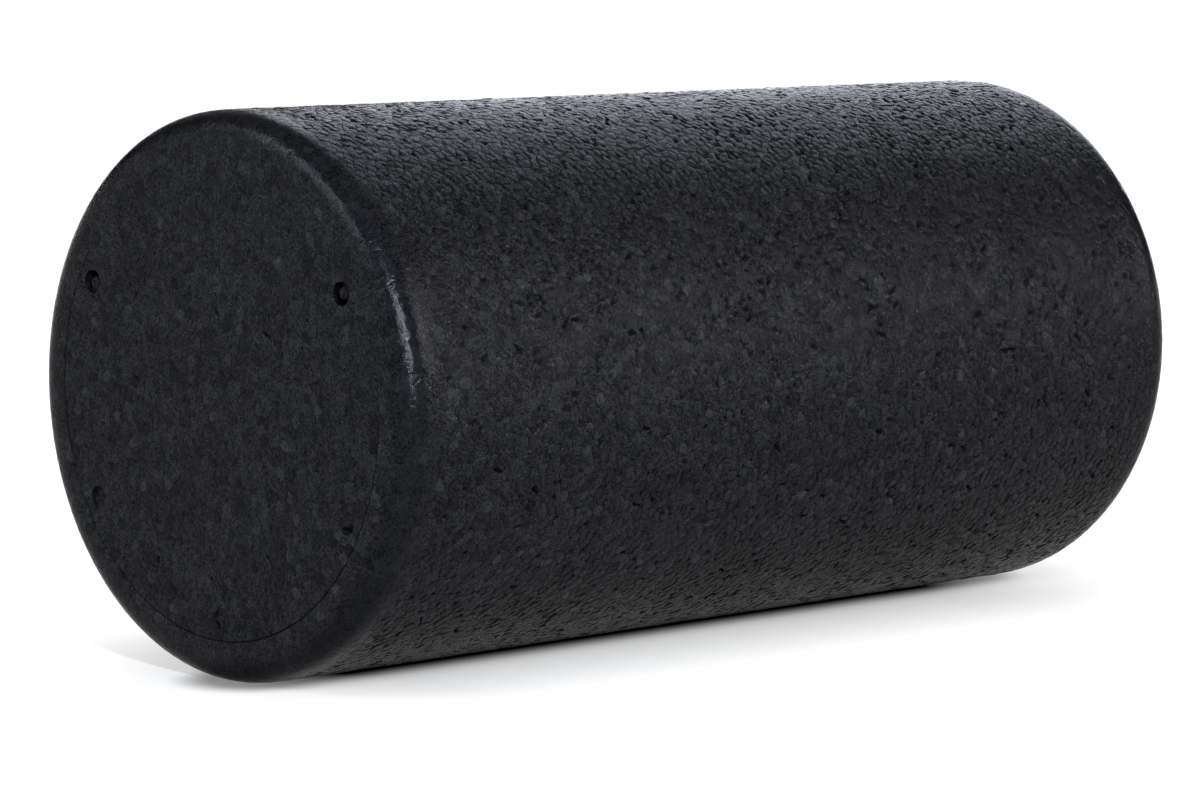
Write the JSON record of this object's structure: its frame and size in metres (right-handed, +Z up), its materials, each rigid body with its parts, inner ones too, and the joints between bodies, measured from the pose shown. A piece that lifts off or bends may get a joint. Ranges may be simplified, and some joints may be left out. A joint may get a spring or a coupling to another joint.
{
  "type": "foam roller",
  "caption": "Solid cylindrical massage roller of fused black bead foam, with rounded edges and flat ends.",
  "frame": {"origin": "the roller's centre, on its axis and half way between its two end faces; it lies on its side, so the floor is one radius below", "axes": "+X along the roller's axis from the near end, which has the two deep marks, to the far end; +Z up; +Y across, to complete a right-handed frame"},
  "size_m": [0.3048, 0.1524, 0.1524],
  "materials": {
    "bead_foam": "satin"
  },
  "bodies": {
    "root": {"foam_body": "bead_foam"}
  },
  "joints": []
}
